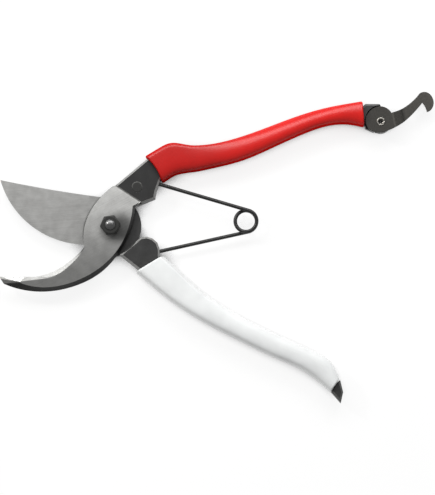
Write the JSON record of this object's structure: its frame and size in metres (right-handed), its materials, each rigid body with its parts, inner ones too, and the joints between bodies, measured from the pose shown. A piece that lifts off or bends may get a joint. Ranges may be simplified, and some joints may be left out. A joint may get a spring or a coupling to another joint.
{
  "type": "pruning shears",
  "caption": "Bypass pruning shears with a curved cutting blade, a hook blade, a wire torsion spring, dipped grips in red and white and a pivoting end catch that holds the handles shut.",
  "frame": {"origin": "on the pivot axis, at the flat back face of the pivot bolt's head", "axes": "+Z along the pivot from the bolt's head to the nut, +X towards the handle ends, +Y towards the red handle; the rest pose is fully open, with the catch folded out"},
  "size_m": [0.2094, 0.1503, 0.0157],
  "materials": {
    "ground_steel": "ground carbon steel with black forge scale left on the tangs",
    "red_vinyl": "glossy dipped vinyl",
    "white_vinyl": "glossy dipped vinyl",
    "black_steel": "black oxide steel",
    "bolt_steel": "bright turned steel",
    "catch_steel": "blackened pressed steel",
    "rivet_steel": "plated steel"
  },
  "bodies": {
    "hook_half": {"hook_blade": "ground_steel", "red_grip": "red_vinyl", "tang_pin": "black_steel", "pivot_bolt": "bolt_steel", "pivot_nut": "black_steel", "pivot_washer": "bolt_steel", "return_spring": "black_steel", "catch_rivet": "rivet_steel", "catch_washer": "rivet_steel"},
    "blade_half": {"cutting_blade": "ground_steel", "white_grip": "white_vinyl"},
    "catch": {"catch": "catch_steel"}
  },
  "joints": [
    {"name": "pivot", "type": "hinge", "parent": "hook_half", "child": "blade_half", "pos_m": [0, 0, 0], "axis": [0, 0, 1], "range_deg": [0, 50], "stiffness_Nm_per_rad": 0.8, "springref_deg": -10.89, "deforming": ["return_spring"]},
    {"name": "catch_swing", "type": "hinge", "parent": "hook_half", "child": "catch", "pos_m": [0.1302, 0.0503, 0], "axis": [0, 0, 1], "range_deg": [-92, 15]}
  ]
}
